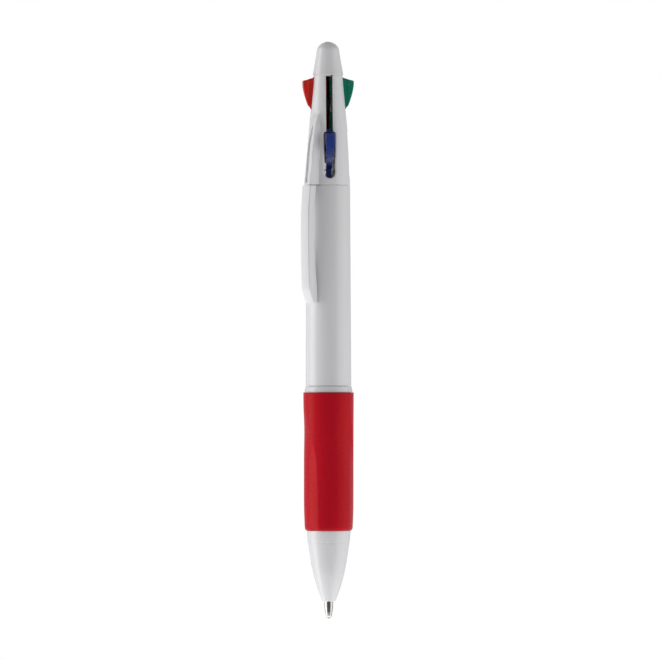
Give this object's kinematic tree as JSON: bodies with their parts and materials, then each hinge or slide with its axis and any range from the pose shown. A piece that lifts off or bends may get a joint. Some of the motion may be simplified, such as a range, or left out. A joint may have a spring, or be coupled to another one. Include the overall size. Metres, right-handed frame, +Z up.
{
  "type": "multicolor click pen",
  "caption": "White multicolour ballpoint pen with sliding colour tabs in slots, a rubber grip, a pocket clip and one point out.",
  "frame": {"origin": "lowest point of the blue writing ball, on the barrel's axis", "axes": "+Z up along the barrel towards the top cap; -Y towards the blue slider's slot, +X towards the green one"},
  "size_m": [0.014, 0.014, 0.145],
  "materials": {
    "white_plastic": "gloss",
    "red_rubber": "satin",
    "natural_plastic": "translucent natural",
    "blue_plastic": "gloss",
    "red_plastic": "gloss",
    "green_plastic": "gloss",
    "black_plastic": "gloss",
    "point_metal": "polished nickel silver",
    "spring_steel": "drawn wire",
    "ball_carbide": "polished"
  },
  "bodies": {
    "pen_body": {"top_cap": "white_plastic", "upper_housing": "white_plastic", "upper_barrel": "white_plastic", "guide_plate": "natural_plastic", "blue_spring": "spring_steel", "red_spring": "spring_steel", "green_spring": "spring_steel", "black_spring": "spring_steel"},
    "front_section": {"front_barrel": "white_plastic", "rubber_grip": "red_rubber", "nose_cone": "white_plastic"},
    "clip": {"pocket_clip": "white_plastic"},
    "blue_slider": {"blue_slider": "blue_plastic", "blue_tube": "natural_plastic"},
    "blue_tip": {"blue_point": "point_metal"},
    "blue_ball": {"blue_ball": "ball_carbide"},
    "red_slider": {"red_slider": "red_plastic", "red_tube": "natural_plastic"},
    "red_tip": {"red_point": "point_metal"},
    "red_ball": {"red_ball": "ball_carbide"},
    "green_slider": {"green_slider": "green_plastic", "green_tube": "natural_plastic"},
    "green_tip": {"green_point": "point_metal"},
    "green_ball": {"green_ball": "ball_carbide"},
    "black_slider": {"black_slider": "black_plastic", "black_tube": "natural_plastic"},
    "black_tip": {"black_point": "point_metal"},
    "black_ball": {"black_ball": "ball_carbide"}
  },
  "joints": [
    {"name": "front_section_pull", "type": "slide", "parent": "pen_body", "child": "front_section", "axis": [0, 0, 1], "range_m": [-0.07, 0]},
    {"name": "clip_flex", "type": "hinge", "parent": "pen_body", "child": "clip", "pos_m": [-0.00474, -0.00474, 0.10875], "axis": [-0.7071, 0.7071, 0], "range_deg": [0, 4], "stiffness_Nm_per_rad": 1.4, "springref_deg": -1.15},
    {"name": "blue_slide", "type": "slide", "parent": "pen_body", "child": "blue_slider", "axis": [0, 0, 1], "range_m": [0, 0.0135], "deforming": ["blue_spring", "blue_tube"]},
    {"name": "blue_tip_lean", "type": "slide", "parent": "blue_slider", "child": "blue_tip", "axis": [0, -1, 0], "range_m": [0, 0.0026], "deforming": ["blue_point", "blue_ball"]},
    {"name": "tip_ball_blue_roll", "type": "hinge", "parent": "blue_tip", "child": "blue_ball", "pos_m": [0, 0, 0.0005], "axis": [1, 0, 0], "continuous": true},
    {"name": "red_slide", "type": "slide", "parent": "pen_body", "child": "red_slider", "axis": [0, 0, -1], "range_m": [0, 0.0135], "stiffness_N_per_m": 60, "springref_m": -0.008, "deforming": ["red_spring", "red_tube"]},
    {"name": "red_tip_lean", "type": "slide", "parent": "red_slider", "child": "red_tip", "axis": [1, 0, 0], "range_m": [0, 0.0026], "deforming": ["red_point", "red_ball"]},
    {"name": "tip_ball_red_roll", "type": "hinge", "parent": "red_tip", "child": "red_ball", "pos_m": [-0.0026, 0, 0.014], "axis": [1, 0, 0], "continuous": true},
    {"name": "green_slide", "type": "slide", "parent": "pen_body", "child": "green_slider", "axis": [0, 0, -1], "range_m": [0, 0.0135], "stiffness_N_per_m": 60, "springref_m": -0.008, "deforming": ["green_spring", "green_tube"]},
    {"name": "green_tip_lean", "type": "slide", "parent": "green_slider", "child": "green_tip", "axis": [-1, 0, 0], "range_m": [0, 0.0026], "deforming": ["green_point", "green_ball"]},
    {"name": "tip_ball_green_roll", "type": "hinge", "parent": "green_tip", "child": "green_ball", "pos_m": [0.0026, 0, 0.014], "axis": [1, 0, 0], "continuous": true},
    {"name": "black_slide", "type": "slide", "parent": "pen_body", "child": "black_slider", "axis": [0, 0, -1], "range_m": [0, 0.0135], "stiffness_N_per_m": 60, "springref_m": -0.008, "deforming": ["black_spring", "black_tube"]},
    {"name": "black_tip_lean", "type": "slide", "parent": "black_slider", "child": "black_tip", "axis": [0, -1, 0], "range_m": [0, 0.0026], "deforming": ["black_point", "black_ball"]},
    {"name": "tip_ball_black_roll", "type": "hinge", "parent": "black_tip", "child": "black_ball", "pos_m": [0, 0.0026, 0.014], "axis": [1, 0, 0], "continuous": true}
  ],
  "couplings": [
    {"joint": "blue_tip_lean", "follows": "blue_slide", "ratio": 0.19259},
    {"joint": "red_tip_lean", "follows": "red_slide", "ratio": 0.19259},
    {"joint": "green_tip_lean", "follows": "green_slide", "ratio": 0.19259},
    {"joint": "black_tip_lean", "follows": "black_slide", "ratio": 0.19259}
  ]
}
